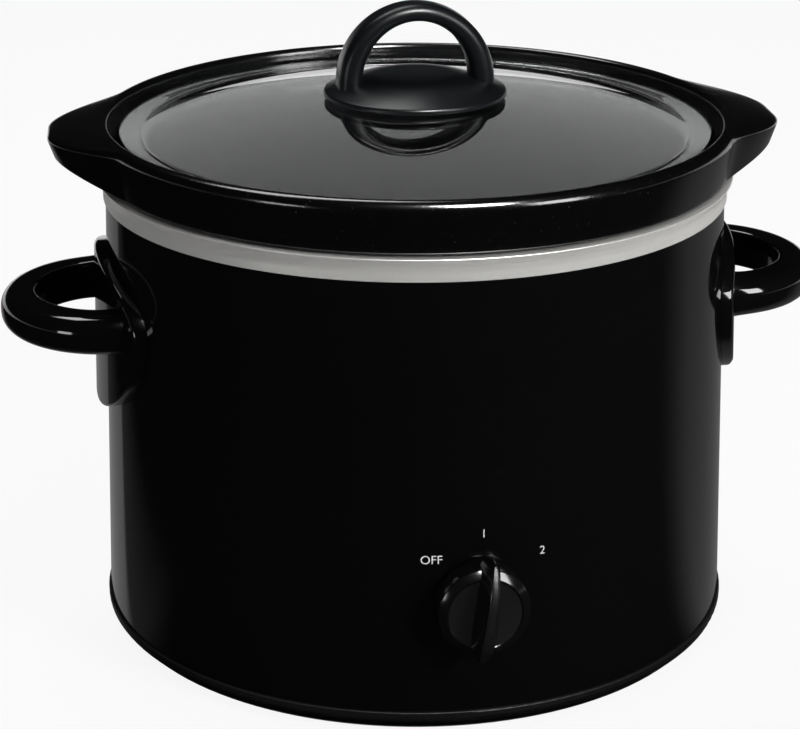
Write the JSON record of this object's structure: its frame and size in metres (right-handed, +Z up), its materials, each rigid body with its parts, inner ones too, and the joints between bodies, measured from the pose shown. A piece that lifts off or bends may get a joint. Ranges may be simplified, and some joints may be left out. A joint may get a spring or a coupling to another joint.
{
  "type": "slow cooker",
  "caption": "Round countertop slow cooker: heated base with loop handles and a turning control knob, lift-out stoneware crock with lugs and a domed glass lid with an arch grip.",
  "frame": {"origin": "centre of the foot rim's face on the floor, on the axis of the pot", "axes": "+Z up along the pot's axis, -Y towards the front with the knob, X across the two side handles"},
  "size_m": [0.3206, 0.2683, 0.2425],
  "materials": {
    "base_plastic": "matte black moulded plastic",
    "shell_paint": "high-gloss black paint on sheet steel",
    "well_steel": "satin steel",
    "fastener_steel": "plated steel",
    "handle_plastic": "high-gloss black moulded plastic",
    "knob_plastic": "gloss black moulded plastic with a fine-textured face",
    "terminal_brass": "plain brass",
    "heater_foil": "aluminium foil face",
    "lead_sleeve": "white heat-proof sleeve",
    "stoneware": "glossy black glaze with fine speckle on stoneware",
    "lid_glass": "clear tempered glass",
    "gasket_rubber": "soft silicone",
    "lid_plastic": "fine-textured charcoal-black plastic"
  },
  "bodies": {
    "base": {"base_pan": "base_plastic", "outer_shell": "shell_paint", "heating_well": "well_steel", "well_stud": "fastener_steel", "base_washer": "fastener_steel", "base_nut": "fastener_steel", "cord_gland": "base_plastic", "handle_right": "handle_plastic", "handle_left": "handle_plastic", "handle_screws_right": "fastener_steel", "handle_screws_left": "fastener_steel", "switch_body": "base_plastic", "switch_nut": "fastener_steel", "switch_terminals": "terminal_brass", "heating_band": "heater_foil", "heater_strap": "well_steel", "strap_screw": "fastener_steel", "heater_leads": "lead_sleeve", "thermal_fuse": "heater_foil"},
    "control": {"knob": "knob_plastic", "switch_shaft": "fastener_steel"},
    "crock": {"stoneware_crock": "stoneware"},
    "lid": {"lid_glass": "lid_glass", "lid_gasket": "gasket_rubber", "lid_handle": "lid_plastic", "lid_handle_screw": "fastener_steel", "lid_washer": "fastener_steel"}
  },
  "joints": [
    {"name": "knob_turn", "type": "hinge", "parent": "base", "child": "control", "pos_m": [0, -0.13, 0.0513], "axis": [0, 1, 0], "range_deg": [-59, 48]},
    {"name": "crock_lift", "type": "slide", "parent": "base", "child": "crock", "axis": [0, 0, 1], "range_m": [0, 0.2]},
    {"name": "lid_lift", "type": "slide", "parent": "crock", "child": "lid", "axis": [0, 0, 1], "range_m": [0, 0.15]}
  ]
}
